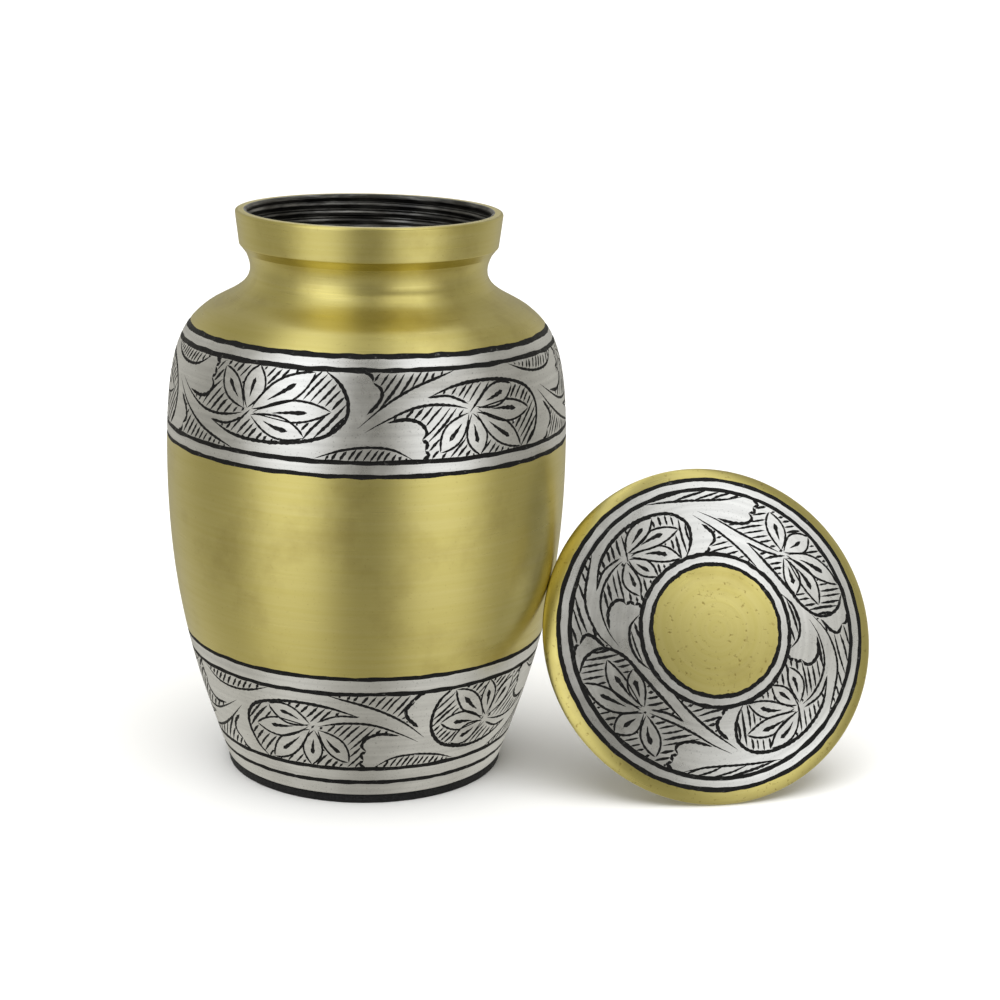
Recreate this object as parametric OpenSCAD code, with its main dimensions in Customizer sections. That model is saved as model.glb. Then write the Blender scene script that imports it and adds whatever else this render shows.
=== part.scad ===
// Small brass cremation urn with a screw lid taken off and leaned against its side.
// Origin: centre of the pad's underside, on the surface that the urn stands on. +Z up, -Y front.

/* [Urn body] */
// Height from the underside of the pad to the top of the rim
urn_h = 144.4; // [120:0.2:174]
// Largest diameter, at the belly
belly_d = 102; // [90:0.5:122]
// Height of the largest diameter
belly_z = 81.7; // [68:0.1:92]
// Diameter of the foot where it meets the pad
foot_d = 72.4; // [60:0.2:88]
// Angle of the wall from upright at the foot
foot_flare = 19.5; // [10:0.5:25]
// Thickness of the cast wall
wall = 2; // [1.5:0.1:3]
// Thickness of the floor
floor_t = 2.5; // [1.5:0.1:4]

/* [Shoulder and neck] */
// Diameter in the middle of the shoulder's slope
shoulder_d = 82.6; // [74:0.2:88]
// Distance of that point below the rim
shoulder_drop = 24.6; // [20:0.1:30]
// Slope of the shoulder there, from upright
shoulder_slope = 52; // [40:1:62]
// Diameter of the neck at its narrowest
neck_d = 59.6; // [54:0.2:61]
// Distance of the neck's narrowest point below the rim
neck_drop = 14.55; // [13:0.05:17]

/* [Rim] */
// Outer diameter at the top of the rim
rim_d = 67; // [66.5:0.1:80]
// Outer diameter at the rim's lower edge
rim_lower_d = 65; // [65:0.1:70]
// Height of the rim's straight side
rim_h = 8.6; // [7.2:0.1:10]
// Size of the chamfer under the rim
rim_chamfer = 1.9; // [1:0.1:2.4]
// Rounding of the rim's top edges
rim_edge = 0.5; // [0.2:0.1:0.8]

/* [Screw thread] */
// Diameter of the mouth, at the crests of its thread
mouth_d = 60.9; // [58:0.1:62]
// Distance from one turn of the thread to the next
thread_pitch = 2.1; // [1.6:0.1:2.6]
// Depth of the thread
thread_depth = 0.9; // [0.5:0.1:1.2]
// Radial clearance between the lid's thread and the mouth's
thread_clearance = 0.25; // [0.1:0.05:0.5]

/* [Ring grooves] */
// Width of each turned ring groove
groove_w = 0.9; // [0.5:0.1:1.3]
// Depth of each turned ring groove
groove_depth = 0.45; // [0.2:0.05:0.7]
// Distance of the upper band's top groove below the rim
upper_band_drop = 28.3; // [26:0.1:32]
// Height of the engraved field in the upper band
upper_field_h = 21.2; // [17:0.1:24]
// Width of the two plain rings beside the upper field, along the wall
upper_ring_w = 3.35; // [2.5:0.05:4.2]
// Height of the lower band's top groove above the table
lower_band_top = 36.8; // [34:0.1:44]
// Height of the engraved field in the lower band
lower_field_h = 22.1; // [17:0.1:23]
// Width of the two plain rings beside the lower field, along the wall
lower_ring_w = 4.35; // [2.5:0.05:4.6]

/* [Lid] */
// Outer diameter of the lid
lid_d = 87.2; // [78:0.2:104]
// Height of the widest part of the lid's edge above its seat
lid_edge_z = 1.3; // [1:0.1:2]
// Width of the plain bevel round the lid's edge
lid_bevel_w = 3.5; // [2.5:0.1:4.5]
// Height of the crown of the lid above its seat
lid_h = 9.3; // [8:0.1:11]
// Radius of the sphere that the lid's top is a cap of
lid_dome_r = 155; // [140:1:186]
// Width of the plain ring inside the bevel
lid_ring_w = 2.8; // [2:0.1:4]
// Radius of the outer groove of the ring round the centre disc
lid_inner_ring_r = 19.7; // [17.5:0.1:23]
// Radius of the plain centre disc
lid_disc_r = 17; // [14:0.1:17.2]
// Length of the threaded collar under the lid
plug_h = 7.2; // [5.8:0.1:8]
// Thickness of the lid's dome and of its collar
lid_wall = 2.1; // [1.5:0.1:3]

/* [Lid at rest] */
// Lean of the lid's face back from upright
lid_lean = 27; // [20:1:35]
// Turn of the lid's face to the right
lid_turn = 8.4; // [0:0.2:16]
// Distance of the lid's centre in front of the urn's axis
lid_forward = 16.4; // [12:0.1:22]
// Gap left where the lid rests against the urn
lid_gap = 0.15; // [0.05:0.05:0.3]

/* [Pad] */
// Thickness of the felt pad
pad_t = 2.25; // [1.5:0.05:3]
// Distance that the pad is set back from the foot's edge
pad_inset = 0.2; // [0:0.1:1.5]

/* [Hidden] */
eps = 0.02;
curve_steps = 16;
round_fn = 96;
thread_steps = 40;
belly_r = belly_d / 2;
foot_r = foot_d / 2;
neck_r = neck_d / 2;
neck_z = urn_h - neck_drop;
mouth_r = mouth_d / 2;
lid_r = lid_d / 2;
crest_land = 0.5 * thread_pitch;
ledge_z = urn_h - rim_h;

// Point at t of the cubic curve through a and d, pulled towards b and c
function bezier(a, b, c, d, t) =
    (1 - t) ^ 3 * a + 3 * (1 - t) ^ 2 * t * b + 3 * (1 - t) * t ^ 2 * c + t ^ 3 * d;

// The curve's points without its last one, so that curves can follow each other
function curve(a, b, c, d) = [for (i = [0 : curve_steps - 1]) bezier(a, b, c, d, i / curve_steps)];

// A point at [radius, height] moved along a direction leaning in from upright
function step(point, lean, length) = point + length * [-sin(lean), cos(lean)];

// ---- Outline of the urn, from the foot to the rim ----

foot_point = [foot_r, pad_t];
belly_point = [belly_r, belly_z];
shoulder_point = [shoulder_d / 2, urn_h - shoulder_drop];
neck_point = [neck_r, neck_z];
under_rim_point = [rim_lower_d / 2 - 0.85 * rim_chamfer, ledge_z - rim_chamfer];
flank = belly_z - pad_t;
crown = shoulder_point[1] - belly_z;
throat = neck_z - shoulder_point[1];

outer_wall = concat(
    curve(foot_point, step(foot_point, -foot_flare, 0.35 * flank),
          belly_point - [0, 0.42 * flank], belly_point),
    curve(belly_point, belly_point + [0, 0.76 * crown],
          step(shoulder_point, shoulder_slope, -0.18 * crown), shoulder_point),
    curve(shoulder_point, step(shoulder_point, shoulder_slope, 0.41 * throat),
          neck_point - [0, 0.54 * throat], neck_point),
    [neck_point]);

rim_outline = concat(
    curve(neck_point, neck_point + [0, 1.6], under_rim_point - [0.5, 1.1], under_rim_point),
    [under_rim_point,
     [rim_lower_d / 2 - rim_edge, ledge_z - 0.4 * rim_edge],
     [rim_lower_d / 2, ledge_z + 0.8 * rim_edge],
     [rim_d / 2, urn_h - rim_edge],
     [rim_d / 2 - 0.3 * rim_edge, urn_h - 0.3 * rim_edge],
     [rim_d / 2 - rim_edge, urn_h]]);

// The outer wall moved in by the wall's thickness, square to its slope
inner_wall = [for (i = [1 : len(outer_wall) - 1])
    let (run = outer_wall[i] - outer_wall[i - 1], across = [-run[1], run[0]] / norm(run),
         middle = (outer_wall[i] + outer_wall[i - 1]) / 2)
    if (middle[1] > pad_t + floor_t + 1) middle + wall * across];

// Radius of the urn's outside at height z
wall_by_height = [for (p = outer_wall) [p[1], p[0]]];
function urn_radius(z) = lookup(z, wall_by_height);

// Lean of the wall at height z, from upright
function wall_lean(z) = atan2(urn_radius(z - 0.5) - urn_radius(z + 0.5), 1);

// Height of the foot of a ring that starts at height z and is ring_w wide along the wall
function ring_foot(z, ring_w) = z - ring_w * cos(wall_lean(z - ring_w / 2));

// ---- Shapes that repeat ----

// One V-shaped groove in a revolved face, cut square to a surface with that lean
module groove_section(point, lean) {
    translate(point) rotate(lean)
        polygon([[-groove_depth, 0], [0.3, groove_w * 0.67], [0.3, -groove_w * 0.67]]);
}

// A screw groove of the mouth or the collar, its ridge side at radius ridge_r.
// depth is positive for a groove that cuts outwards, and negative for one that cuts inwards.
module screw_groove(ridge_r, depth, bottom, top) {
    turns = (top - bottom) / thread_pitch;
    rings = ceil(turns * thread_steps);
    mouth_half = (thread_pitch - crest_land) / 2 + 0.12;
    root_half = 0.3 * mouth_half;
    back = sign(depth) * 0.4;
    section = [[ridge_r - back, -mouth_half * 1.15], [ridge_r + depth, -root_half],
               [ridge_r + depth, root_half], [ridge_r - back, mouth_half * 1.15]];
    points = [for (i = [0 : rings], p = section)
        let (turn = i / rings * turns * 360, z = bottom + i / rings * (top - bottom))
        [p[0] * cos(turn), p[0] * sin(turn), z + p[1]]];
    sides = [for (i = [0 : rings - 1], k = [0 : 3])
        let (a = 4 * i + k, b = 4 * i + (k + 1) % 4)
        [a, a + 4, b + 4, b]];
    ends = [[0, 1, 2, 3], [for (k = [3 : -1 : 0]) 4 * rings + k]];
    faces = concat(sides, ends);
    polyhedron(points, depth < 0 ? faces : [for (f = faces) [for (k = [len(f) - 1 : -1 : 0]) f[k]]]);
}

// ---- Urn ----

// Heights of a band's four grooves: a plain ring, the engraved field and a second plain ring
function band_grooves(top, ring_w, field_h) =
    let (field_top = ring_foot(top, ring_w), field_bottom = field_top - field_h)
    [top, field_top, field_bottom, ring_foot(field_bottom, ring_w)];

groove_heights = concat(
    band_grooves(urn_h - upper_band_drop, upper_ring_w, upper_field_h),
    band_grooves(lower_band_top, lower_ring_w, lower_field_h));

module urn_outside() {
    rotate_extrude($fn = round_fn)
        difference() {
            polygon(concat([[0, pad_t]], outer_wall, rim_outline, [[0, urn_h]]));
            for (z = groove_heights)
                groove_section([urn_radius(z), z], wall_lean(z));
        }
}

module urn_inside() {
    floor_z = pad_t + floor_t;
    neck_inner_r = neck_r - wall;
    rotate_extrude($fn = round_fn)
        polygon(concat(
            [[0, floor_z], [inner_wall[0][0] - 1.2, floor_z]],
            inner_wall,
            [[neck_inner_r, neck_z], [neck_inner_r, ledge_z - 0.6], [neck_inner_r + 0.6, ledge_z],
             [mouth_r, ledge_z], [mouth_r, urn_h - rim_edge], [mouth_r + rim_edge, urn_h + eps],
             [mouth_r + rim_edge, urn_h + 1], [0, urn_h + 1]]));
}

module urn_body() {
    color("#b9a44c")
        difference() {
            urn_outside();
            urn_inside();
            screw_groove(mouth_r, thread_depth, ledge_z + 0.75 * thread_pitch, urn_h + 0.5 * thread_pitch);
        }
}

// ---- Lid, in its own frame: axis +Z outwards, seat at z = 0 ----

bevel_r = lid_r - lid_bevel_w;
function dome_z(r, drop = 0) =
    lid_h - lid_dome_r + sqrt((lid_dome_r - drop) ^ 2 - r ^ 2);
function dome_lean(r) = 90 - asin(r / lid_dome_r);
dome = [for (i = [0 : curve_steps]) let (r = bevel_r * (1 - i / curve_steps)) [r, dome_z(r)]];
lid_edge = concat(
    [[lid_r - 1.1, 0], [lid_r - 0.35, 0.3 * lid_edge_z]],
    curve([lid_r, lid_edge_z], [lid_r, lid_edge_z + 0.9],
          [bevel_r + 1, dome_z(bevel_r) - 0.35], [bevel_r, dome_z(bevel_r)]));
plug_crest_r = mouth_r + thread_depth - thread_clearance;
plug_root_r = mouth_r - thread_clearance;
plug_inner_r = plug_root_r - lid_wall;
lid_groove_radii = [bevel_r, bevel_r - lid_ring_w, lid_inner_ring_r, lid_disc_r];

module lid_solid() {
    hollow = [for (i = [0 : curve_steps]) let (r = plug_inner_r * i / curve_steps) [r, dome_z(r, lid_wall)]];
    difference() {
        rotate_extrude($fn = round_fn)
            difference() {
                polygon(concat(
                    [[0, -plug_h], [plug_crest_r - 0.5, -plug_h], [plug_crest_r, -plug_h + 0.5],
                     [plug_crest_r, 0]],
                    lid_edge, dome));
                for (r = lid_groove_radii)
                    groove_section([r, dome_z(r)], dome_lean(r));
                polygon(concat([[0, -plug_h - 1]], hollow, [[plug_inner_r, -plug_h - 1]]));
            }
        screw_groove(plug_crest_r, -thread_depth, -plug_h - 0.5 * thread_pitch, -0.8 * thread_pitch);
    }
}

// Rings round the lid, as [radius, height], that can meet the table or the urn
lid_corners = concat(lid_edge, [[plug_crest_r, -plug_h]]);
lid_tip = 90 - lid_lean;
lid_lift = max([for (c = lid_corners) c[0] * sin(lid_tip) - c[1] * cos(lid_tip)]) + eps;

// A point of one of those rings, placed as the lid rests, with its seat's centre at x
function lid_point(corner, around, x) =
    let (p = [corner[0] * cos(around), corner[0] * sin(around), corner[1]],
         tipped = [p[0], p[1] * cos(lid_tip) - p[2] * sin(lid_tip), p[1] * sin(lid_tip) + p[2] * cos(lid_tip)])
    [x + tipped[0] * cos(lid_turn) - tipped[1] * sin(lid_turn),
     tipped[0] * sin(lid_turn) + tipped[1] * cos(lid_turn) - lid_forward,
     tipped[2] + lid_lift];

// Narrowest gap between the lid and the urn's side with the lid's centre at x
function side_gap(x) = min([for (c = lid_corners, around = [0 : 3 : 357])
    let (p = lid_point(c, around, x)) norm([p[0], p[1]]) - urn_radius(p[2])]);

// The place between near and far where that gap is lid_gap, by halving
function resting_x(near, far, rounds = 26) =
    rounds == 0 ? far :
    let (middle = (near + far) / 2)
    side_gap(middle) > lid_gap ? resting_x(near, middle, rounds - 1) : resting_x(middle, far, rounds - 1);

lid_x = resting_x(belly_r * 0.5, belly_r + 2 * lid_r);

module screw_lid() {
    color("#b9a44c")
        translate([lid_x, -lid_forward, lid_lift])
            rotate([lid_tip, 0, lid_turn])
                lid_solid();
}

// ---- Felt pad under the foot ----

module felt_base_pad() {
    color("#232323")
        cylinder(h = pad_t, r = foot_r - pad_inset, $fn = round_fn);
}

urn_body();
screw_lid();
felt_base_pad();
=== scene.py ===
"""Small cremation urn of cast brass with engraved silvery bands, a felt pad, and the lid leaning on it.

Shapes are worked out in millimetres and become metres where a mesh is made.
Angles round the urn run from the front (-Y) towards the lid (+X).
"""
import math
import random

import bpy
import numpy as np
from mathutils import Matrix, Vector, noise
from mathutils.geometry import delaunay_2d_cdt


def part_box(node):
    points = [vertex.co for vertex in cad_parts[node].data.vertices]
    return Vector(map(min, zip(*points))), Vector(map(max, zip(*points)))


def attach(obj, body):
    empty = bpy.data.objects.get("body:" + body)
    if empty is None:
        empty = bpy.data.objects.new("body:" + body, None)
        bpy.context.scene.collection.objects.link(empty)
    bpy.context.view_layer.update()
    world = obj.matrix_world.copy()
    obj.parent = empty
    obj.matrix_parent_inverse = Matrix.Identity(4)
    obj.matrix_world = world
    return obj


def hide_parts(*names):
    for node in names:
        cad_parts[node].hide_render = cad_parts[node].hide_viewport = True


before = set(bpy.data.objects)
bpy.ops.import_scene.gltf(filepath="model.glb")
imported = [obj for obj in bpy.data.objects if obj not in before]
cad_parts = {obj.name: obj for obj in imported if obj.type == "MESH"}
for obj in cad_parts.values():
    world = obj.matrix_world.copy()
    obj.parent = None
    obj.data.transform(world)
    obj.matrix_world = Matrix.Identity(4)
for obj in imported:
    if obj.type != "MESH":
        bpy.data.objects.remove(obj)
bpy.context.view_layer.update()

MM = 0.001
COLUMNS = 240  # vertices round every turned shape

# ---- Sizes, in millimetres, as the construction has them ----

urn_low, urn_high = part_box("urn_body")
PAD_T = urn_low.z / MM
URN_H = urn_high.z / MM
BELLY_R = urn_high.x / MM
BELLY_Z = 81.7
FOOT_R, FOOT_FLARE = 36.2, 19.5
SHOULDER_R, SHOULDER_DROP, SHOULDER_SLOPE = 41.3, 24.6, 52
NECK_R, NECK_DROP = 29.8, 14.55
RIM_R, RIM_LOWER_R, RIM_H, RIM_CHAMFER = 33.5, 32.5, 8.6, 1.9
WALL, FLOOR_T = 2.0, 2.5
MOUTH_R, THREAD_PITCH, THREAD_DEPTH, THREAD_CLEARANCE = 30.45, 2.1, 0.9, 0.25
LEDGE_Z = URN_H - RIM_H
UNDER_RIM_Z = LEDGE_Z - RIM_CHAMFER
NECK_Z = URN_H - NECK_DROP

# Heights of each band's four turned grooves: a plain ring, the engraved field, and a second plain ring
UPPER_GROOVES = (URN_H - 28.3, 113.2, 92.0, 88.65)
LOWER_GROOVES = (36.8, 32.55, 10.45, 6.35)
GROOVE_W, LID_GROOVE_W, GROOVE_DEPTH = 1.15, 1.1, 0.5
BAND_MARGIN = 1.1  # of plain wall beyond a band's outer grooves that is meshed with the band

LID_R, LID_EDGE_Z, LID_BEVEL_W, LID_H, LID_DOME_R = 43.6, 1.3, 3.5, 9.3, 155.0
LID_GROOVES = (LID_R - LID_BEVEL_W, 37.3, 19.7, 17.0)
PLUG_H, LID_WALL = 7.2, 2.1
PLUG_CREST_R = MOUTH_R + THREAD_DEPTH - THREAD_CLEARANCE
PLUG_INNER_R = MOUTH_R - THREAD_CLEARANCE - LID_WALL
LID_LEAN, LID_TURN = math.radians(27), math.radians(8.4)
LID_PLACE = Vector((0.0877689, -0.0164, 0.038482))  # of the middle of its seat, in metres

# Each band's flowers by angle, and the lid's by angle from its right and which way up, all in degrees
UPPER_FLOWERS = (-34.5, 30, 89, 148, 207, 266)
LOWER_FLOWERS = (-17.5, 45, 102.5, 160.5, 218.5, 276.5)
LID_FLOWERS = ((137, 1), (43, -1), (-45, 1), (-136, -1))

BRASS, SILVER, PATINA, DARK = range(4)  # the material slots of the urn and the lid


# ---- Curves ----

def bezier(a, b, c, d, steps=48):
    """Points on the cubic curve from a to d, pulled towards b and c."""
    a, b, c, d = (np.array(p, float) for p in (a, b, c, d))
    t = np.linspace(0, 1, steps + 1)[:, None]
    return (1 - t) ** 3 * a + 3 * (1 - t) ** 2 * t * b + 3 * (1 - t) * t ** 2 * c + t ** 3 * d


def leaning(point, lean, length):
    """A [radius, height] point moved along a direction that leans in from upright by so many degrees."""
    lean = math.radians(lean)
    return (point[0] - length * math.sin(lean), point[1] + length * math.cos(lean))


def smooth(points, pitch):
    """A curve through the points, with a point every pitch along it."""
    p = np.array(points, float)
    p = np.vstack([2 * p[0] - p[1], p, 2 * p[-1] - p[-2]])
    t = np.linspace(0, 1, 13)[:-1, None]
    runs = [
        0.5 * (2 * b + (c - a) * t + (2 * a - 5 * b + 4 * c - d) * t ** 2 + (3 * b - a - 3 * c + d) * t ** 3)
        for a, b, c, d in zip(p, p[1:], p[2:], p[3:])
    ]
    return resampled(np.vstack(runs + [p[-2:-1]]), pitch)


def resampled(p, pitch):
    """The polyline with its points spread evenly, about pitch apart."""
    along = np.concatenate([[0], np.cumsum(np.linalg.norm(np.diff(p, axis=0), axis=1))])
    steps = max(2, round(along[-1] / pitch))
    at = np.linspace(0, along[-1], steps + 1)
    return np.stack([np.interp(at, along, p[:, 0]), np.interp(at, along, p[:, 1])], axis=1)


def inside(polygon, points):
    """Whether each point is inside the closed polygon."""
    x, y = points[:, 0, None], points[:, 1, None]
    (x0, y0), (x1, y1) = polygon.T, np.roll(polygon, -1, axis=0).T
    crosses = (y0 > y) != (y1 > y)
    with np.errstate(divide="ignore", invalid="ignore"):
        left = x < x0 + (y - y0) * (x1 - x0) / (y1 - y0)
    return (crosses & left).sum(axis=1) % 2 == 1


class Outline:
    """A turned surface's radius and normal by height, or its height and normal by radius."""

    def __init__(self, points, by_height=True):
        self.by_height = by_height
        order = 1 if by_height else 0
        p = points[np.argsort(points[:, order], kind="stable")]
        self.at, self.value = p[:, order], p[:, 1 - order]
        self.slope = np.gradient(self.value, self.at)

    def __call__(self, x):
        return np.interp(x, self.at, self.value)

    def normal(self, x):
        """(outwards, upwards) at x, of length 1."""
        slope = np.interp(x, self.at, self.slope)
        size = np.sqrt(1 + slope ** 2)
        return (1 / size, -slope / size) if self.by_height else (-slope / size, 1 / size)


# ---- Meshes ----

class Shell:
    """A mesh as it grows: welded vertices, and faces with a material and a normal at each corner."""

    def __init__(self):
        self.places, self.found, self.faces, self.slots, self.normals = [], {}, [], [], []

    def vertex(self, place):
        key = (round(place[0], 4), round(place[1], 4), round(place[2], 4))
        if key not in self.found:
            self.found[key] = len(self.places)
            self.places.append(place)
        return self.found[key]

    def face(self, places, normals, slot):
        """Adds a face. Corners that fall together count once, and under three aren't a face."""
        corners, kept = [], []
        for place, normal in zip(places, normals):
            v = self.vertex(place)
            if v not in corners:
                corners.append(v)
                kept.append(normal)
        if len(corners) > 2:
            self.faces.append(corners)
            self.slots.append(slot)
            self.normals.extend(kept)

    def lathe(self, points, slot, wobble=None):
        """Turns a smooth stretch of outline, [radius, height], round Z. The outside is on its right."""
        p = np.array(points, float)
        run = np.gradient(p, axis=0) if len(p) > 2 else np.repeat(np.diff(p, axis=0), 2, axis=0)
        run /= np.linalg.norm(run, axis=1)[:, None]
        rows = []
        for (r, z), (dr, dz) in zip(p, run):
            row = []
            for i in range(COLUMNS):
                a = 2 * math.pi * i / COLUMNS
                size = r + (wobble(a, r, z) if wobble else 0)
                row.append((
                    (size * math.sin(a), -size * math.cos(a), z),
                    (dz * math.sin(a), -dz * math.cos(a), -dr)))
            rows.append(row)
        for low, high in zip(rows, rows[1:]):
            for i in range(COLUMNS):
                k = (i + 1) % COLUMNS
                corners = (low[i], low[k], high[k], high[i])
                self.face([c[0] for c in corners], [c[1] for c in corners], slot)

    def screw(self, radius, depth, low, high, slot):
        """A screw thread between two heights. A depth above 0 cuts its grooves outwards, as in a mouth."""
        # One pitch's outline, as (share of the pitch, share of the depth): flat crest, flank, root, flank
        section = ((0, 0), (0.46, 0), (0.56, 0.75), (0.62, 1), (0.86, 1), (0.92, 0.75))
        turns = math.ceil((high - low) / THREAD_PITCH) + 2
        fade = 0.7 * THREAD_PITCH  # over which the grooves run out at each end

        def place(i, k):
            share, cut = section[k % len(section)]
            z = low + (share + k // len(section) - 1 + i / COLUMNS) * THREAD_PITCH
            z = min(max(z, low), high)
            cut *= min(1, (z - low) / fade, (high - z) / fade)
            a = 2 * math.pi * i / COLUMNS
            r = radius + depth * cut
            return (r * math.sin(a), -r * math.cos(a), z)

        for i in range(COLUMNS):
            for k in range(turns * len(section)):
                corners = [place(i, k), place(i + 1, k), place(i + 1, k + 1), place(i, k + 1)]
                self.face(corners[::-1] if depth > 0 else corners, [(0, 0, 0)] * 4, slot)

    def object(self, name, materials):
        mesh = bpy.data.meshes.new(name)
        mesh.from_pydata([(x * MM, y * MM, z * MM) for x, y, z in self.places], [], self.faces)
        for m in materials:
            mesh.materials.append(m)
        mesh.polygons.foreach_set("material_index", self.slots)
        mesh.polygons.foreach_set("use_smooth", [True] * len(self.faces))
        mesh.update()
        mesh.normals_split_custom_set(self.normals)
        piece = bpy.data.objects.new(name, mesh)
        bpy.context.scene.collection.objects.link(piece)
        return piece


# ---- Engraving: strokes of a graver, cut as real V grooves ----

CUT_PITCH = 0.75  # between the points of a stroke
REGION_PITCH = 1.0  # between the points of a hatched region's outline
TEETH = (0.86, 1.12)  # shares of its width that a stroke has at its even and odd points
LEAST_HALF_WIDTH = 0.012  # of a stroke, but for its two ends
LEAST_CUT = 0.02  # the depth from which a face is part of a cut
HATCH_WIDTH, HATCH_DEPTH, SHORTEST_HATCH = (0.5, 0.8), 0.32, 1.1
THIN_DEPTH, DEEP_DEPTH, VEIN_DEPTH = 0.36, 0.45, 0.5


class Stroke:
    """One cut of the graver along a line, pointed at both ends, with the rough edges of a hammered tool."""

    def __init__(self, line, width, rng, taper, depth):
        self.line, self.depth = line, depth
        u = np.linspace(0, 1, len(line))
        body = np.minimum(1, np.minimum(u / taper[0], (1 - u) / taper[1])) ** 0.7
        teeth = np.array([TEETH[i % 2] for i in range(len(line))])
        rough = [teeth * [rng.uniform(0.86, 1.16) for _ in line] for _ in range(2)]
        self.left, self.right = (np.maximum(body * width / 2 * r, LEAST_HALF_WIDTH) for r in rough)
        self.left[[0, -1]] = self.right[[0, -1]] = 0
        run = np.gradient(line, axis=0)
        run /= np.linalg.norm(run, axis=1)[:, None] + 1e-9
        self.across = np.stack([-run[:, 1], run[:, 0]], axis=1)

    def moved(self, shift):
        other = object.__new__(Stroke)
        other.__dict__ = dict(self.__dict__, line=self.line + shift)
        return other

    def chains(self):
        """The lines that the mesh has to follow: both edges and the bottom of the cut."""
        left = self.line + self.across * self.left[:, None]
        right = self.line - self.across * self.right[:, None]
        return [left, right, self.line]

    def cut(self, points):
        """Depth of the cut at each point."""
        reach = max(self.left.max(), self.right.max()) + 0.05
        low, high = self.line.min(axis=0) - reach, self.line.max(axis=0) + reach
        near = np.nonzero(((points > low) & (points < high)).all(axis=1))[0]
        depth = np.zeros(len(points))
        if len(near) == 0:
            return depth
        a, b = self.line[:-1], self.line[1:]
        p = points[near][:, None]
        t = np.clip(((p - a) * (b - a)).sum(2) / ((b - a) ** 2).sum(1), 0, 1)
        away = p - (a + t[..., None] * (b - a))
        gap = np.linalg.norm(away, axis=2)
        best = gap.argmin(axis=1)
        row = np.arange(len(near))
        t, gap, away = t[row, best], gap[row, best], away[row, best]
        on_left = (away * self.across[best]).sum(1) > 0
        edge = np.where(on_left, self.left[best] + t * (self.left[best + 1] - self.left[best]),
                        self.right[best] + t * (self.right[best + 1] - self.right[best]))
        depth[near] = self.depth * np.clip(1 - gap / np.maximum(edge, 1e-6), 0, 1)
        return depth


def hatching(region, petals, angle, pitch, rng):
    """Parallel cuts at that angle over the region, which stop short of its edge and of the petals."""
    along = np.array([math.cos(angle), math.sin(angle)])
    across = np.array([-along[1], along[0]])
    low, high = (region @ along).min() - 1, (region @ along).max() + 1
    at, end = (region @ across).min() + 0.5 * pitch, (region @ across).max()
    step = 0.15
    strokes = []
    while at < end:
        p = across * at + np.arange(low, high, step)[:, None] * along
        clear = inside(region, p)
        for petal in petals:
            clear &= ~inside(petal, p)
        edges = np.flatnonzero(np.diff(np.concatenate([[0], clear.astype(int), [0]])))
        for start, stop in edges.reshape(-1, 2):
            first, last = p[start], p[stop - 1]
            length = np.linalg.norm(last - first)
            if length < SHORTEST_HATCH:
                continue
            trim = rng.uniform(0.15, 0.35) / length, 1 - rng.uniform(0.15, 0.5) / length
            ends = first + (last - first) * trim[0], first + (last - first) * trim[1]
            bow = across * rng.uniform(-0.02, 0.04) * length
            line = smooth([ends[0], (ends[0] + ends[1]) / 2 + bow, ends[1]], CUT_PITCH)
            strokes.append(Stroke(line, rng.uniform(*HATCH_WIDTH), rng, (0.3, 0.3), HATCH_DEPTH))
        at += pitch * rng.uniform(0.85, 1.15)
    return strokes


# One repeat of the pattern, in millimetres, about a point by the flower's middle: x runs along the band, and
# y from -FIELD_HALF to FIELD_HALF over the field. Every second repeat is turned upside down.
FIELD_HALF = 10.6
POCKET_REACH, LEAF_REACH = 19.8, 26.4  # how far a repeat's pocket and its far leaf run from the flower
FLOWER = (-0.5, 1.0)
# Petals, the front ones first: tip, and how far each side bulges
PETALS = (((11.8, 5.4), 2.6, 2.5), ((16.8, -1.0), 2.2, 2.9), ((13.4, -9.8), 2.7, 2.6),
          ((1.5, -10.2), 2.7, 2.6), ((-8.8, -8.8), 2.3, 2.8))
POCKET = ((-11.8, 4.3), (-4.5, 6.6), (3, 7.3), (10, 6.6), (15.8, 4.6), (19.2, 1.0), (19.8, -3.2),
          (18.2, -7.4), (15.2, -10.3))
POCKET_CLOSE = ((6, -10.4), (-4, -10.4), (-13.2, -10.3))
UNDERLEAF = ((-11.8, 4.3), (-6.4, 4.4), (-1.2, 2.2))
STEM = ((-27, -3.6), (-22, -0.8), (-16, 1.8), (-10.6, 2.6), (-5.4, 2.1), (-1.4, 1.1))
LEAF_END = (((-21.7, -1.2), (-17, -0.5), (-13.6, -1.6), (-12.2, -3.8), (-13.4, -5.5)),
            ((-13.4, -5.5), (-12.0, -6.4), (-12.7, -8.0)),
            ((-12.7, -8.0), (-11.7, -9.1), (-13.4, -10.3)))
SCROLL = ((-28.5, -2.6), (-22, 2.8), (-14.5, 6.9), (-4, 10.1))
SCROLL_CLOSE = ((-10, 10.4), (-18, 10.4), (-26.6, 10.4))
FAR_LEAF_END = (((-27.4, 10.4), (-25.2, 9.4), (-24.9, 8.0)),
                ((-24.9, 8.0), (-22.8, 6.2), (-23.4, 3.6), (-26.4, 0.6)))
CRESCENT = ((-38.5, -10.0), (-32.5, -7.9), (-26.5, -7.0), (-20.5, -7.5), (-15.4, -10.1))
CRESCENT_CLOSE = tuple((x, -10.5) for x in (-16, -21, -27, -33, -38))


def petal_frame(tip):
    """The flower's middle, the way from it to a petal's tip, and the direction across the petal."""
    middle = np.array(FLOWER)
    run = np.array(tip) - middle
    return middle, run, np.array([-run[1], run[0]]) / np.linalg.norm(run)


def petal_edges(tip, left, right):
    """A petal's two edges, from near the flower's middle to its tip."""
    middle, run, side = petal_frame(tip)
    start = middle + 0.09 * run
    k = np.linspace(0, 1, 9)[:, None]
    spread = np.sin(math.pi * k ** 1.12) ** 0.85
    return [start + (np.array(tip) - start) * k + bulge * side * spread for bulge in (left, -right)]


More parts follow.
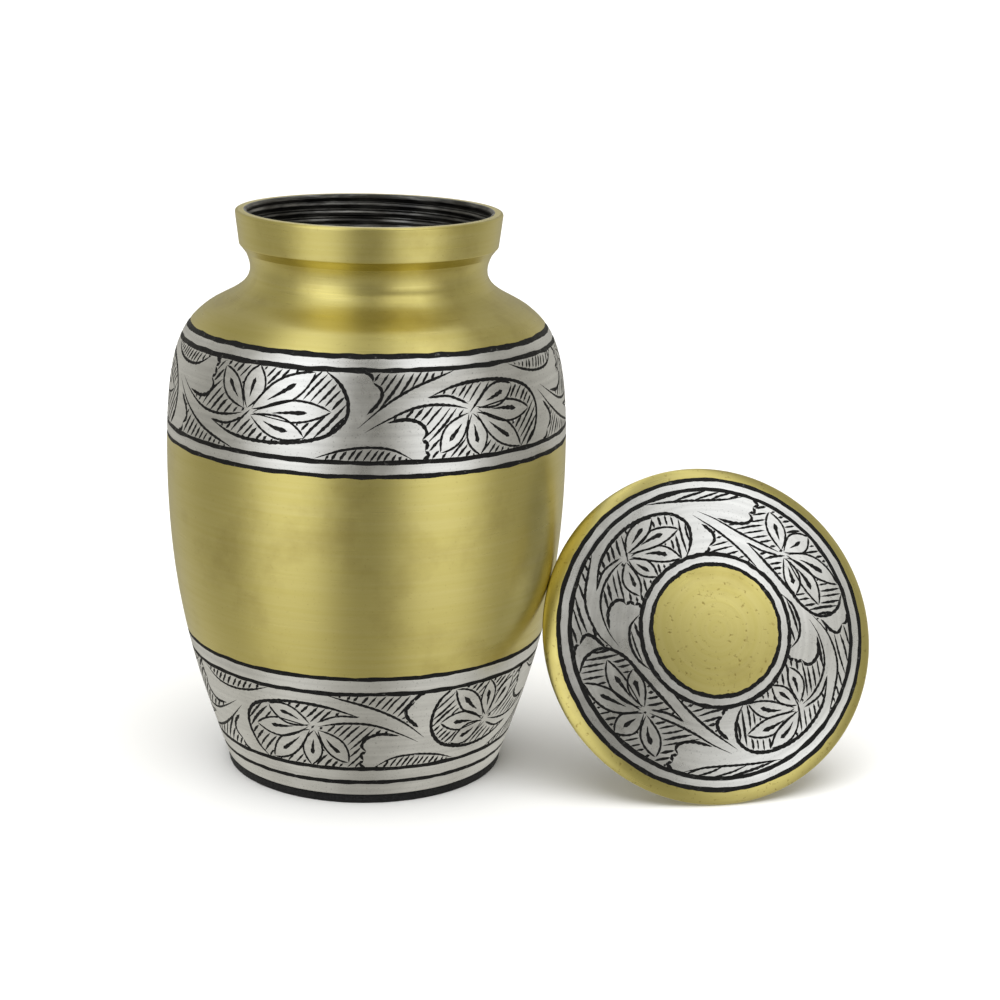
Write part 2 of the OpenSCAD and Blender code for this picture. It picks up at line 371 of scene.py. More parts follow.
def petal_vein(tip, bend):
    """The line of the drop-shaped cut along a petal's middle."""
    middle, run, side = petal_frame(tip)
    return [middle + run * share + side * aside for share, aside in ((0.32, 0), (0.52, bend), (0.74, 0))]


def repeat_strokes(place, slant, rng):
    """One repeat's strokes. place takes the pattern's points to the field, and slant turns the hatching."""
    def curve(points, pitch=CUT_PITCH):
        return smooth(place(np.array(points, float)), pitch)

    strokes = []

    def cut(line, width, taper=(0.12, 0.12), depth=THIN_DEPTH):
        strokes.append(Stroke(line, width * rng.uniform(0.92, 1.08), rng, taper, depth))

    cut(curve(POCKET), 0.9, (0.2, 0.1), DEEP_DEPTH)
    cut(curve(UNDERLEAF), 0.6)
    cut(curve(STEM), 0.68, (0.5, 0.2))
    cut(curve(SCROLL), 0.68, (0.4, 0.2))
    cut(curve(CRESCENT), 0.68, (0.25, 0.25))
    for scallop in LEAF_END + FAR_LEAF_END:
        cut(curve(scallop), 0.88, (0.2, 0.15), DEEP_DEPTH)

    petals = []
    for tip, left, right in PETALS:
        edges = petal_edges(tip, left, right)
        for edge in edges:
            # Hidden where it passes behind the petals already cut
            line = curve(edge)
            for petal in petals:
                line = line[~inside(petal, line)]
            if len(line) > 3:
                cut(line, 0.58, (0.2, 0.1))
        petals.append(np.vstack([curve(edges[0]), curve(edges[1])[::-1]]))
        cut(curve(petal_vein(tip, rng.uniform(-0.2, 0.3))), 1.2, (0.85, 0.14), VEIN_DEPTH)

    leaf_end = tuple(p for scallop in LEAF_END for p in scallop)
    far_leaf_end = tuple(p for scallop in FAR_LEAF_END for p in scallop)
    pocket = curve(POCKET + POCKET_CLOSE + leaf_end[::-1] + STEM[2:] + UNDERLEAF[::-1], REGION_PITCH)
    strokes += hatching(pocket, petals, slant, 1.55, rng)
    top = curve(SCROLL + SCROLL_CLOSE + far_leaf_end, REGION_PITCH)
    strokes += hatching(top, [], slant + 0.1, 1.6, rng)
    crescent = curve(CRESCENT + CRESCENT_CLOSE, REGION_PITCH)
    strokes += hatching(crescent, [], slant + 0.15, 1.4, rng)
    return strokes


def field_mesh(chains, loose):
    """Triangles between the chains of points, which become edges, and the loose points."""
    points, edges = [], []
    for chain in chains:
        first = len(points)
        points += [Vector(p) for p in chain]
        edges += [(first + i, first + i + 1) for i in range(len(chain) - 1)]
    points += [Vector(p) for p in loose]
    made = delaunay_2d_cdt(points, edges, [], 0, 1e-5, False)
    return np.array([tuple(v) for v in made[0]]), np.array(made[2])


class Ring:
    """A turned groove all the way round, with uneven edges."""

    def __init__(self, rng, width):
        self.edges = []
        for _ in range(2):
            rough = np.array([rng.uniform(0.6, 1.4) for _ in range(COLUMNS)])
            uneven = sum(np.roll(rough, k) for k in (0, 1, 2)) / 3 * width / 2
            self.edges.append(np.append(uneven, uneven[0]))

    def offsets(self):
        """How far the groove's two edges and its bottom lie from its middle, column by column."""
        return [self.edges[0], -self.edges[1], np.zeros(COLUMNS + 1)]

    def cut(self, share, across):
        """Depth at points a share of the way round and so far across from the groove's middle."""
        at = np.linspace(0, 1, COLUMNS + 1)
        edge = np.where(across > 0, np.interp(share, at, self.edges[0]), np.interp(share, at, self.edges[1]))
        return GROOVE_DEPTH * np.clip(1 - np.abs(across) / edge, 0, 1)


def engrave(shell, chains, loose, depth, in_field, lay, metal):
    """Adds an engraved field to the shell. It is worked out flat, and laid on the piece's surface.

    depth gives the cut at points, and lay the places and normals of points cut to a depth. in_field and
    metal take the middles of triangles: whether they lie in the field, and their slots if they aren't cut.
    """
    points, triangles = field_mesh(chains, loose[depth(loose) == 0])
    middles = points[triangles].mean(axis=1)
    ok = in_field(middles)
    triangles, middles = triangles[ok], middles[ok]
    places, normals = (rows.tolist() for rows in lay(points, depth(points)))
    slots = np.where(depth(middles) > LEAST_CUT, PATINA, metal(middles)).tolist()
    for corners, slot in zip(triangles.tolist(), slots):
        # A cut's faces stay flat, which a normal of no length stands for
        shell.face([tuple(places[c]) for c in corners],
                   [(0, 0, 0) if slot == PATINA else tuple(normals[c]) for c in corners], slot)


def band_strokes(flowers, mirrored, first_flipped, mean_r, middle_z, half, rng):
    """The strokes round a band, unrolled: x is the way round from the front, and y is height."""
    side = -1 if mirrored else 1
    spare = 3.5  # between a repeat's pocket and the next one's far leaf
    strokes = []
    for i, angle in enumerate(flowers):
        to_next = math.radians(side * (flowers[(i + side) % len(flowers)] - angle) % 360) * mean_r
        to_last = math.radians(side * (angle - flowers[(i - side) % len(flowers)]) % 360) * mean_r
        flip = -1 if (i % 2 == 0) == first_flipped else 1
        pocket_scale = min(max((to_next - LEAF_REACH - spare) / POCKET_REACH, 0.85), 1.28)
        leaf_scale = min((to_last - 0.85 * POCKET_REACH - 1) / LEAF_REACH, 1)

        def place(p, angle=angle, flip=flip, pocket_scale=pocket_scale, leaf_scale=leaf_scale):
            along = np.where(p[:, 0] > 0, pocket_scale, leaf_scale) * p[:, 0]
            return np.stack([math.radians(angle) * mean_r + side * along,
                             middle_z + flip * p[:, 1] * half / FIELD_HALF], axis=1)

        strokes += repeat_strokes(place, math.radians(rng.uniform(42, 52)), rng)
    return strokes


def engraved_band(shell, wall, grooves, silver_from, flowers, mirrored, first_flipped, seed):
    """A band of the urn, with its rings, its field of flowers and a little plain wall above and below.

    It is silver from silver_from to its top groove, and brass elsewhere. mirrored runs the pattern the other
    way round, and first_flipped turns the first, third and fifth flowers upside down, not the others.
    Returns the heights that the band spans.
    """
    rng = random.Random(seed)
    top, bottom = grooves[0] + BAND_MARGIN, grooves[3] - BAND_MARGIN
    middle_z, half = (grooves[1] + grooves[2]) / 2, (grooves[1] - grooves[2]) / 2
    mean_r = float(wall(middle_z))
    length = 2 * math.pi * mean_r
    columns = np.linspace(0, length, COLUMNS + 1)

    strokes = band_strokes(flowers, mirrored, first_flipped, mean_r, middle_z, half, rng)
    turns = [s.moved((length * k, 0)) for s in strokes for k in (-1, 0, 1)]
    strokes = [s for s in turns if s.line[:, 0].max() > -1 and s.line[:, 0].min() < length + 1]
    rings = [Ring(rng, GROOVE_W) for _ in grooves]

    chains = [np.stack([columns, np.full(COLUMNS + 1, z)], axis=1) for z in (top, bottom)]
    chains += [np.array([(x, bottom), (x, top)]) for x in (0, length)]
    for ring, z in zip(rings, grooves):
        chains += [np.stack([columns, z + offset], axis=1) for offset in ring.offsets()]
    for s in strokes:
        chains += s.chains()

    def depth(p):
        deep = np.zeros(len(p))
        for ring, z in zip(rings, grooves):
            deep = np.maximum(deep, ring.cut(p[:, 0] / length, p[:, 1] - z))
        for s in strokes:
            deep = np.maximum(deep, s.cut(p))
        return deep

    def in_field(p):
        return (p[:, 0] > 0) & (p[:, 0] < length) & (p[:, 1] > bottom) & (p[:, 1] < top)

    def lay(p, deep):
        angle = p[:, 0] / mean_r
        out, up = wall.normal(p[:, 1])
        r, z = wall(p[:, 1]) - deep * out, p[:, 1] - deep * up
        return (np.stack([r * np.sin(angle), -r * np.cos(angle), z], axis=1),
                np.stack([out * np.sin(angle), -out * np.cos(angle), up], axis=1))

    def metal(p):
        return np.where((p[:, 1] > silver_from) & (p[:, 1] < grooves[0]), SILVER, BRASS)

    pitch = 2.2
    across = np.arange(bottom + pitch / 2, top, pitch)
    loose = np.array([(x, y) for x in np.arange(pitch / 2, length - 0.5, pitch) for y in across])
    engrave(shell, chains, loose, depth, in_field, lay, metal)
    return bottom, top


# ---- The urn ----

def urn_outline():
    """The outside of the wall, from the foot to under the rim, as radius by height."""
    foot, belly = (FOOT_R, PAD_T), (BELLY_R, BELLY_Z)
    shoulder, neck = (SHOULDER_R, URN_H - SHOULDER_DROP), (NECK_R, NECK_Z)
    under_rim = (RIM_LOWER_R - 0.85 * RIM_CHAMFER, UNDER_RIM_Z)
    flank, crown, throat = belly[1] - foot[1], shoulder[1] - belly[1], neck[1] - shoulder[1]
    rising = bezier(foot, leaning(foot, -FOOT_FLARE, 0.35 * flank),
                    (belly[0], belly[1] - 0.42 * flank), belly)
    closing = bezier(belly, (belly[0], belly[1] + 0.76 * crown),
                     leaning(shoulder, SHOULDER_SLOPE, -0.18 * crown), shoulder)
    hollow = bezier(shoulder, leaning(shoulder, SHOULDER_SLOPE, 0.41 * throat),
                    (neck[0], neck[1] - 0.54 * throat), neck)
    flare = bezier(neck, (neck[0], neck[1] + 1.6), (under_rim[0] - 0.5, under_rim[1] - 1.1), under_rim, 12)
    return Outline(np.vstack([rising[:-1], closing[:-1], hollow, flare[1:]]))


def build_urn(materials):
    shell = Shell()
    wall = urn_outline()

    def up_the_wall(low, high, rows):
        z = np.linspace(low, high, rows + 1)
        return np.stack([wall(z), z], axis=1)

    foot_round = 0.35
    low_wall = PAD_T + 2 * foot_round
    shell.lathe([(0, PAD_T), (18, PAD_T), (FOOT_R - foot_round, PAD_T)], SILVER)
    shell.lathe(bezier((FOOT_R - foot_round, PAD_T), (FOOT_R, PAD_T), (wall(low_wall - 0.3), low_wall - 0.3),
                       (wall(low_wall), low_wall), 4), SILVER)
    low_band = engraved_band(shell, wall, LOWER_GROOVES, 0, LOWER_FLOWERS, True, False, 11)
    shell.lathe(up_the_wall(low_wall, low_band[0], 4), SILVER)
    high_band = engraved_band(shell, wall, UPPER_GROOVES, UPPER_GROOVES[3], UPPER_FLOWERS, False, True, 12)
    shell.lathe(up_the_wall(low_band[1], high_band[0], 26), BRASS)
    shell.lathe(up_the_wall(high_band[1], NECK_Z, 22), BRASS)
    shell.lathe(up_the_wall(NECK_Z, UNDER_RIM_Z, 8), BRASS)
    add_rim(shell, wall)
    add_inside(shell, wall)
    return shell.object("urn_with_engraved_bands", materials)


def add_rim(shell, wall):
    """A chamfer, a straight side that leans out a little, a rounded top edge, and the threaded mouth."""
    chamfer_end = (RIM_LOWER_R - 0.35, LEDGE_Z - 0.25)
    side_start = (RIM_LOWER_R + 0.03, LEDGE_Z + 0.3)
    side_end = (RIM_R - 0.04, URN_H - 0.75)
    top_start = (RIM_R - 0.75, URN_H)
    lip = (MOUTH_R + 0.9, URN_H)
    mouth_top = URN_H - 0.9
    shell.lathe([(wall(UNDER_RIM_Z), UNDER_RIM_Z), chamfer_end], BRASS)
    shell.lathe(bezier(chamfer_end, (RIM_LOWER_R - 0.05, LEDGE_Z), (RIM_LOWER_R, LEDGE_Z + 0.1),
                       side_start, 4), BRASS)
    shell.lathe(bezier(side_start, side_start, side_end, side_end, 4), BRASS)
    shell.lathe(bezier(side_end, (RIM_R, URN_H - 0.3), (RIM_R - 0.25, URN_H), top_start, 5), BRASS)
    shell.lathe([top_start, lip], BRASS)
    shell.lathe(bezier(lip, (MOUTH_R + 0.3, URN_H), (MOUTH_R, URN_H - 0.3), (MOUTH_R, mouth_top), 5), DARK)
    shell.screw(MOUTH_R, THREAD_DEPTH, LEDGE_Z, mouth_top, DARK)


def add_inside(shell, wall):
    """The ledge under the thread, the neck, the inside of the wall and the floor."""
    neck_r = NECK_R - WALL
    neck_top = (neck_r, LEDGE_Z - 0.8)
    shell.lathe([(MOUTH_R, LEDGE_Z), (neck_r + 0.6, LEDGE_Z)], DARK)
    shell.lathe(bezier((neck_r + 0.6, LEDGE_Z), (neck_r + 0.1, LEDGE_Z), (neck_r, LEDGE_Z - 0.2),
                       neck_top, 4), DARK)
    z = np.concatenate([np.linspace(NECK_Z, 95, 18), np.linspace(90, 12, 18)])
    out, up = wall.normal(z)
    inner = np.stack([wall(z) - WALL * out, z - WALL * up], axis=1)
    floor_z = PAD_T + FLOOR_T
    corner = bezier(inner[-1], inner[-1] + (inner[-1] - inner[-2]), (inner[-1][0] - 1.6, floor_z),
                    (inner[-1][0] - 5, floor_z), 6)
    shell.lathe(np.vstack([[neck_top], inner, corner[1:]]), DARK)
    shell.lathe([corner[-1], (16, floor_z), (0, floor_z)], DARK)


# ---- The lid, in its own frame: axis +Z outwards, seat at z = 0 ----

def dome_z(r, drop=0.0):
    """Height of the lid's domed top at radius r, or of a dome that lies lower by drop."""
    return LID_H - LID_DOME_R + np.sqrt((LID_DOME_R - drop) ** 2 - np.asarray(r, float) ** 2)


def lid_top():
    """The lid's bevel as points, and its whole top, bevel and dome, as height by radius."""
    bevel_r = LID_GROOVES[0]
    bevel_z = dome_z(bevel_r)
    edge = bezier((LID_R, LID_EDGE_Z), (LID_R, LID_EDGE_Z + 0.9), (bevel_r + 1, bevel_z - 0.35),
                  (bevel_r, bevel_z), 24)
    r = np.linspace(bevel_r, 0, 81)[1:]
    return edge, Outline(np.vstack([edge[2:], np.stack([r, dome_z(r)], axis=1)]), by_height=False)


def lid_strokes(mean_r, half, rng):
    """The strokes of the lid's flowers, seen from above."""
    strokes = []
    for middle, flip in LID_FLOWERS:
        def place(p, middle=middle, flip=flip):
            angle = math.radians(middle) - np.where(p[:, 0] > 0, 0.95, 0.92) * p[:, 0] / mean_r
            r = mean_r + flip * p[:, 1] * half / FIELD_HALF
            return np.stack([r * np.cos(angle), r * np.sin(angle)], axis=1)

        strokes += repeat_strokes(place, math.radians(middle - 90 + rng.uniform(48, 62)), rng)
    return strokes


def engraved_lid_field(shell, top):
    """The lid's rings and its field of flowers. Returns the radii that they span."""
    rng = random.Random(21)
    outer_r, inner_r = LID_GROOVES[0] + 1.0, LID_GROOVES[3] - 0.9
    strokes = lid_strokes((LID_GROOVES[1] + LID_GROOVES[2]) / 2, (LID_GROOVES[1] - LID_GROOVES[2]) / 2, rng)
    rings = [Ring(rng, LID_GROOVE_W) for _ in LID_GROOVES]
    turn = np.linspace(0, 2 * math.pi, COLUMNS + 1)

    def circle(r):
        return np.stack([r * np.sin(turn), -r * np.cos(turn)], axis=1)

    chains = [circle(outer_r), circle(inner_r)]
    for ring, r in zip(rings, LID_GROOVES):
        chains += [circle(r + offset) for offset in ring.offsets()]
    for s in strokes:
        chains += s.chains()

    def depth(p):
        r = np.hypot(p[:, 0], p[:, 1])
        share = (np.arctan2(p[:, 0], -p[:, 1]) / (2 * math.pi)) % 1
        deep = np.zeros(len(p))
        for ring, at in zip(rings, LID_GROOVES):
            deep = np.maximum(deep, ring.cut(share, r - at))
        for s in strokes:
            deep = np.maximum(deep, s.cut(p))
        return deep

    def in_field(p):
        r = np.hypot(p[:, 0], p[:, 1])
        return (r > inner_r * math.cos(math.pi / COLUMNS) - 1e-4) & (r < outer_r)

    def lay(p, deep):
        r = np.hypot(p[:, 0], p[:, 1])
        out, up = top.normal(r)
        x, y = p.T / np.maximum(r, 1e-9)
        return (np.stack([p[:, 0] - deep * out * x, p[:, 1] - deep * out * y, top(r) - deep * up], axis=1),
                np.stack([out * x, out * y, up], axis=1))

    def metal(p):
        r = np.hypot(p[:, 0], p[:, 1])
        return np.where((r > LID_GROOVES[3]) & (r < LID_GROOVES[0]), SILVER, BRASS)

    pitch, margin = 2.1, 0.5
    grid = np.arange(-outer_r, outer_r, pitch)
    loose = np.array([(x, y) for x in grid for y in grid
                      if inner_r + margin < math.hypot(x, y) < outer_r - margin])
    engrave(shell, chains, loose, depth, in_field, lay, metal)
    return outer_r, inner_r


def build_lid(materials):
    shell = Shell()
    edge, top = lid_top()
    field_outer, field_inner = engraved_lid_field(shell, top)
    add_plug(shell)
    under_edge = (LID_R - 1.1, 0)
    shell.lathe([(PLUG_CREST_R, 0), (37, 0), under_edge], BRASS)
    shell.lathe(bezier(under_edge, (LID_R - 0.4, 0), (LID_R, 0.4), edge[0], 6), BRASS)
    r = np.concatenate([edge[:-1, 0][edge[:-1, 0] > field_outer + 0.1], [field_outer]])
    z = np.concatenate([edge[:len(r) - 1, 1], [top(field_outer)]])
    shell.lathe(np.stack([r, z], axis=1), BRASS)
    r = np.linspace(field_inner, 0, 9)
    shell.lathe(np.stack([r, dome_z(r)], axis=1), BRASS)
    lid = shell.object("engraved_screw_lid", materials)

    # As it leans: its face tipped back from upright and turned to the right
    pose = Matrix.Rotation(LID_TURN, 4, "Z") @ Matrix.Rotation(math.pi / 2 - LID_LEAN, 4, "X")
    lid.data.transform(Matrix.Translation(LID_PLACE) @ pose)
    return lid


def add_plug(shell):
    """The hollow under the dome, and the threaded collar round it."""
    r = np.linspace(0, PLUG_INNER_R, 15)
    hollow = np.stack([r, dome_z(r, LID_WALL)], axis=1)
    inner_end = (PLUG_INNER_R, 0.4 - PLUG_H)
    end_start, end_stop = (PLUG_INNER_R + 0.5, -PLUG_H), (PLUG_CREST_R - 0.6, -PLUG_H)
    shell.lathe(hollow, DARK)
    shell.lathe([hollow[-1], (PLUG_INNER_R, 0), inner_end], DARK)
    shell.lathe(bezier(inner_end, (PLUG_INNER_R, -PLUG_H), (PLUG_INNER_R + 0.1, -PLUG_H), end_start, 4),
                BRASS)
    shell.lathe([end_start, end_stop], BRASS)
    shell.lathe([end_stop, (PLUG_CREST_R, 0.6 - PLUG_H)], BRASS)
    shell.screw(PLUG_CREST_R, -THREAD_DEPTH, 0.6 - PLUG_H, 0, BRASS)


# ---- The felt pad ----

def build_pad(material):
    shell = Shell()
    _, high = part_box("felt_base_pad")
    r, t, soft = high.x / MM, high.z / MM, 0.55  # soft is how far its edges are rounded

    def fuzz(a, radius, z):
        if radius < r - 1:
            return 0
        return -0.05 - 0.13 * abs(noise.noise((9 * math.sin(a), 9 * math.cos(a), 2.4 * z)))

    for stretch in ([(0, 0), (r / 2, 0), (r - soft, 0)],
                    bezier((r - soft, 0), (r, 0), (r, 0.1), (r, soft), 5),
                    [(r, soft), (r, t / 2), (r, t - soft)],
                    bezier((r, t - soft), (r, t - 0.1), (r, t), (r - soft, t), 5),
                    [(r - soft, t), (r / 2, t), (0, t)]):
        shell.lathe(stretch, 0, fuzz)
    return shell.object("felt_pad", [material])


# ---- Materials ----

class Nodes:
    """A node tree, with short ways to add and join nodes."""

    def __init__(self, tree):
        self.tree = tree

    def add(self, kind, settings=(), **inputs):
        """A new node's first output. inputs are by socket name, with _ for a space, or i and its number."""
        node = self.tree.nodes.new("ShaderNode" + kind)
        for key, value in dict(settings).items():
            setattr(node, key, value)
        for key, value in inputs.items():
            numbered = key[0] == "i" and key[1:].isdigit()
            self.put(node.inputs[int(key[1:]) if numbered else key.replace("_", " ")], value)
        return node.outputs[0]

    def put(self, socket, value):
        if isinstance(value, bpy.types.NodeSocket):
            self.tree.links.new(value, socket)
        else:
            socket.default_value = value

    def maths(self, operation, *values):
        return self.add("Math", {"operation": operation}, **{f"i{k}": v for k, v in enumerate(values)})

    def times(self, a, b):
        return self.maths("MULTIPLY", a, b)

    def plus(self, a, b):
        return self.maths("ADD", a, b)

    def axes(self, vector):
        node = self.tree.nodes.new("ShaderNodeSeparateXYZ")
        self.put(node.inputs[0], vector)
        return node.outputs

    def noise(self, vector, scale=1.0, detail=3.0, roughness=0.55):
        return self.add("TexNoise", Vector=vector, Scale=scale, Detail=detail, Roughness=roughness)

    def between(self, value, low, high, to_low=0.0, to_high=1.0):
        """value's stretch from low to high, spread over to_low to to_high and held there."""
        return self.add("MapRange", {"clamp": True}, Value=value, From_Min=low, From_Max=high,
                        To_Min=to_low, To_Max=to_high)

    def blend(self, factor, a, b):
        node = self.tree.nodes.new("ShaderNodeMix")
        node.data_type = "RGBA"
        self.put(node.inputs["Factor"], factor)
        self.put(node.inputs[6], a)
        self.put(node.inputs[7], b)
        return node.outputs[2]


class Material(Nodes):
    """A material's nodes, up to the sockets of its shader."""

    def __init__(self, name, on_lid=False, **values):
        self.on_lid = on_lid
        self.material = bpy.data.materials.new(name)
        self.material.use_nodes = True
        super().__init__(self.material.node_tree)
        self.shader = self.tree.nodes["Principled BSDF"]
        for socket, value in values.items():
            self.set(socket.replace("_", " "), value)

    def set(self, socket, value):
        self.put(self.shader.inputs[socket], value)

    def bump(self, height, strength, distance):
        self.set("Normal", self.add("Bump", Height=height, Strength=strength, Distance=distance))

    def place(self):
        """Place on the piece, in metres. On the lid, about its own axis as Z."""
        where = self.tree.nodes.new("ShaderNodeTexCoord").outputs["Object"]
        if not self.on_lid:
            return where
        return self.add("Mapping", {"vector_type": "TEXTURE"}, Vector=where, Location=LID_PLACE,
                        Rotation=(math.pi / 2 - LID_LEAN, 0, LID_TURN))

    def stretched(self, scale):
        return self.add("Mapping", Vector=self.place(), Scale=scale)


def turned_marks(n):
    """Fine and coarse lines as a lathe and abrasive leave them: level, or round the middle on the lid."""
    if not n.on_lid:
        return n.noise(n.stretched((60, 60, 3200)), detail=2), n.noise(n.stretched((25, 25, 900)), detail=3)
    x, y, _ = n.axes(n.place())
    radius = n.maths("SQRT", n.plus(n.times(x, x), n.times(y, y)))
    marks = []
    for across, along in ((2600, 70), (800, 30)):
        vector = n.tree.nodes.new("ShaderNodeCombineXYZ")
        n.put(vector.inputs[0], n.times(radius, across))
        n.put(vector.inputs[1], n.times(x, along))
        n.put(vector.inputs[2], n.times(y, along))
        marks.append(n.noise(vector.outputs[0], detail=2))
    return marks


def brass(name, on_lid=False):
    """Turned brass, with brown clouds and small pores, which are larger and deeper on the lid."""
    n = Material(name, on_lid, Metallic=1.0)
    fine, coarse = turned_marks(n)
    stains = n.noise(n.place(), 55, 5, 0.6)
    scale, least, stain, pit = (850, 0.62, 0.85, 1.2) if on_lid else (1500, 0.66, 0.25, 0.3)
    pores = n.between(n.noise(n.place(), scale, 2), least, 0.74)
    light, deep, brown = (0.66, 0.58, 0.225, 1), (0.61, 0.53, 0.17, 1), (0.33, 0.25, 0.07, 1)
    colour = n.blend(n.between(coarse, 0.2, 0.8), light, deep)
    colour = n.blend(n.between(stains, 0.52, 0.80, 0, 0.5), colour, brown)
    colour = n.blend(n.times(pores, stain), colour, brown)
    n.set("Base Color", colour)
    n.set("Roughness", n.between(fine, 0.2, 0.8, 0.26, 0.36))
    height = n.plus(n.times(fine, 0.5), n.times(coarse, 0.12))
    n.bump(n.maths("SUBTRACT", height, n.times(pores, pit)), 0.3, 0.00004)
    return n.material


def silver(name, on_lid=False):
    """The silvery plating: cloudy, with darker turned lines and fine specks."""
    n = Material(name, on_lid, Metallic=1.0)
    fine, coarse = turned_marks(n)
    cloud = n.noise(n.place(), 140, 5, 0.65)
    specks = n.between(n.noise(n.place(), 2200, 2), 0.62, 0.74)
    colour = n.blend(n.between(cloud, 0.32, 0.68), (0.70, 0.70, 0.69, 1), (0.80, 0.80, 0.79, 1))
    colour = n.blend(n.between(coarse, 0.35, 0.75, 0, 0.35), colour, (0.36, 0.36, 0.36, 1))
    colour = n.blend(n.times(specks, 0.45), colour, (0.12, 0.12, 0.12, 1))
    n.set("Base Color", colour)
    n.set("Roughness", n.between(cloud, 0.3, 0.7, 0.25, 0.36))
    n.bump(n.plus(n.times(fine, 0.5), n.times(cloud, 0.8)), 0.35, 0.00005)
    return n.material


def patina(name):
    """The black left in every cut, worn through to grey metal in spots."""
    n = Material(name, Specular_IOR_Level=0.2)
    spots = n.noise(n.place(), 900, 3, 0.6)
    worn = n.between(spots, 0.64, 0.76)
    n.set("Base Color", n.blend(worn, (0.005, 0.005, 0.005, 1), (0.12, 0.12, 0.115, 1)))
    n.set("Metallic", n.times(worn, 0.8))
    n.set("Roughness", n.between(spots, 0.3, 0.7, 0.65, 0.45))
    n.bump(spots, 0.5, 0.00006)
    return n.material


def dark_metal(name):
    """Dark grey metal for the thread, the inside of the urn and the lid's hollow, streaked round with dull
    bare metal.
    """
    n = Material(name, Metallic=1.0)
    streaks = n.noise(n.stretched((120, 120, 900)), detail=4)
    cloud = n.noise(n.place(), 160, 4, 0.6)
    colour = n.blend(n.between(streaks, 0.42, 0.72), (0.045, 0.045, 0.045, 1), (0.26, 0.26, 0.25, 1))
    colour = n.blend(n.between(cloud, 0.4, 0.7, 0, 0.5), colour, (0.09, 0.085, 0.07, 1))
    n.set("Base Color", colour)
    n.set("Roughness", n.between(cloud, 0.3, 0.7, 0.28, 0.5))
    n.bump(streaks, 0.5, 0.0001)
    return n.material


def felt(name):
    n = Material(name, Sheen_Weight=0.06, Sheen_Roughness=0.5, Specular_IOR_Level=0.25)
    fibres = n.noise(n.place(), 2600, 4, 0.7)
    tufts = n.noise(n.place(), 420, 3)
    n.set("Base Color", n.blend(n.between(fibres, 0.4, 0.75), (0.004, 0.004, 0.004, 1),
                                (0.022, 0.022, 0.023, 1)))
    n.set("Roughness", n.between(tufts, 0.3, 0.7, 0.85, 1.0))
    n.bump(n.plus(fibres, tufts), 0.8, 0.0002)
    return n.material


# ---- Floor, light and camera ----

FLOOR_HALF, FLOOR_COLOUR = 25.0, (0.86, 0.86, 0.86, 1)
PANEL_GLOW = 1.15
TENT_GLOW = (0.25, 0.40)  # between the panels: in front and behind, and at the sides
TENT_COLOUR, PANEL_COLOUR = (1, 0.97, 0.86, 1), (0.99, 1, 1, 1)
LAMP_POWER, LAMP_SPREAD, LAMP_TILT = 2.4, math.radians(60), math.radians(12)
CAMERA_PLACE = (0, -0.5321, 0.2146)
CAMERA_PITCH, CAMERA_YAW, CAMERA_ROLL = math.radians(15.22), math.radians(3.71), math.radians(1.50)
LENS, SENSOR = 76.5, 36


def build_floor():
    mesh = bpy.data.meshes.new("floor")
    half = FLOOR_HALF
    corners = [(-half, -half, 0), (half, -half, 0), (half, half, 0), (-half, half, 0)]
    mesh.from_pydata(corners, [], [(0, 1, 2, 3)])
    paper = Material("floor_paper", Roughness=0.9)
    paper.set("Base Color", FLOOR_COLOUR)
    mesh.materials.append(paper.material)
    floor = bpy.data.objects.new("floor", mesh)
    bpy.context.scene.collection.objects.link(floor)
    # The metal reflects the tent round it, and not the paper it stands on
    floor.visible_glossy = False


def build_lamp():
    """A wide light overhead that whitens the paper and leaves no highlight on the metal."""
    light = bpy.data.lights.new("overhead", "SUN")
    light.energy, light.angle = LAMP_POWER, LAMP_SPREAD
    lamp = bpy.data.objects.new("overhead", light)
    lamp.matrix_world = Matrix.Rotation(LAMP_TILT, 4, "X")
    lamp.visible_glossy = False
    bpy.context.scene.collection.objects.link(lamp)


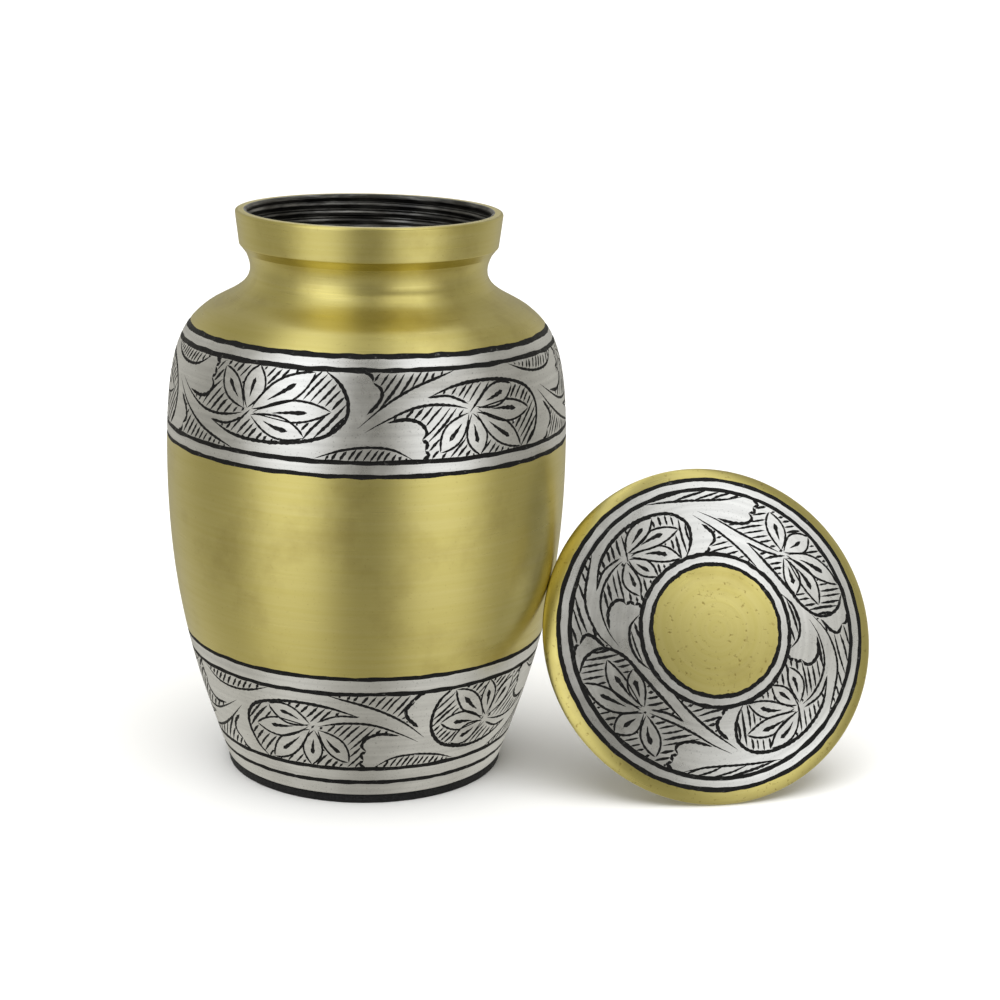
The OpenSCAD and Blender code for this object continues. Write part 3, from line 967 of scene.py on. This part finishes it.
def light_tent():
    """A dim tent with a tall bright panel to the left and right of its front, which lean in overhead."""
    world = bpy.data.worlds.new("light_tent")
    world.use_nodes = True
    n = Nodes(world.node_tree)
    x, y, z = n.axes(n.tree.nodes.new("ShaderNodeTexCoord").outputs["Generated"])
    side = n.maths("ABSOLUTE", x)

    def spread(towards_back):
        """0 straight ahead, and more to the sides, along upright arcs that meet overhead."""
        depth = n.times(y, 1.0 if towards_back else -1.0)
        return n.maths("DIVIDE", side, n.plus(depth, 1.02))

    def panel(arc):
        return n.times(n.between(arc, 0.10, 0.27), n.between(arc, 0.76, 0.47))

    # The front panels: brighter higher up, closer overhead, and the right one dim at middle height
    arc = spread(False)
    height = n.times(n.between(z, -0.85, -0.1, 0.08, 0.92), n.between(z, 0.7, 0.95, 1.0, 0.85))
    height = n.plus(height, n.times(n.between(z, -0.05, 0.3), 0.12))
    dim = n.times(n.between(z, 0.12, 0.25), n.between(z, 0.62, 0.48))
    dim = n.times(dim, n.between(x, 0.1, 0.25))
    front = n.times(panel(n.plus(arc, n.between(z, 0.5, 0.7, 0, 0.06))), height)
    front = n.times(front, n.between(dim, 0, 1, 1.0, 0.28))
    # Their weaker likes behind, and the tent itself, brighter at the sides and below
    back = n.times(panel(spread(True)), n.between(z, 0.6, 0.3))
    back = n.times(back, n.between(y, 0.1, 0.4, 0, 0.14))
    panels = n.plus(front, back)
    tent = n.plus(n.between(arc, 0.0, 0.9, *TENT_GLOW), n.between(z, -0.25, -0.7, 0, 0.17))
    background = n.tree.nodes["Background"]
    n.put(background.inputs[0], n.blend(panels, TENT_COLOUR, PANEL_COLOUR))
    n.put(background.inputs[1], n.plus(n.times(panels, PANEL_GLOW), tent))
    return world


def build_camera():
    """About half a metre off and above the rim, tipped down, turned a little right and not quite level."""
    lens = bpy.data.cameras.new("camera")
    lens.lens, lens.sensor_width = LENS, SENSOR
    camera = bpy.data.objects.new("camera", lens)
    turn = (Matrix.Rotation(-CAMERA_YAW, 4, "Z") @ Matrix.Rotation(math.pi / 2 - CAMERA_PITCH, 4, "X")
            @ Matrix.Rotation(CAMERA_ROLL, 4, "Z"))
    camera.matrix_world = Matrix.Translation(CAMERA_PLACE) @ turn
    bpy.context.scene.collection.objects.link(camera)
    bpy.context.scene.camera = camera


# ---- The scene ----

build_camera()
build_floor()
build_lamp()
bpy.context.scene.world = light_tent()
bpy.context.scene.view_settings.view_transform = "Standard"

# Materials are in the order of the slots BRASS, SILVER, PATINA and DARK
urn = build_urn([brass("urn_brass"), silver("urn_silver"), patina("urn_patina"), dark_metal("urn_thread")])
lid = build_lid([brass("lid_brass", True), silver("lid_silver", True), patina("lid_patina"),
                 dark_metal("lid_underside")])
pad = build_pad(felt("black_felt"))
for piece, node, slot in ((urn, "urn_body", "urn_brass"), (lid, "screw_lid", "lid_brass"),
                          (pad, "felt_base_pad", "felt")):
    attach(piece, "root")
    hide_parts(node)
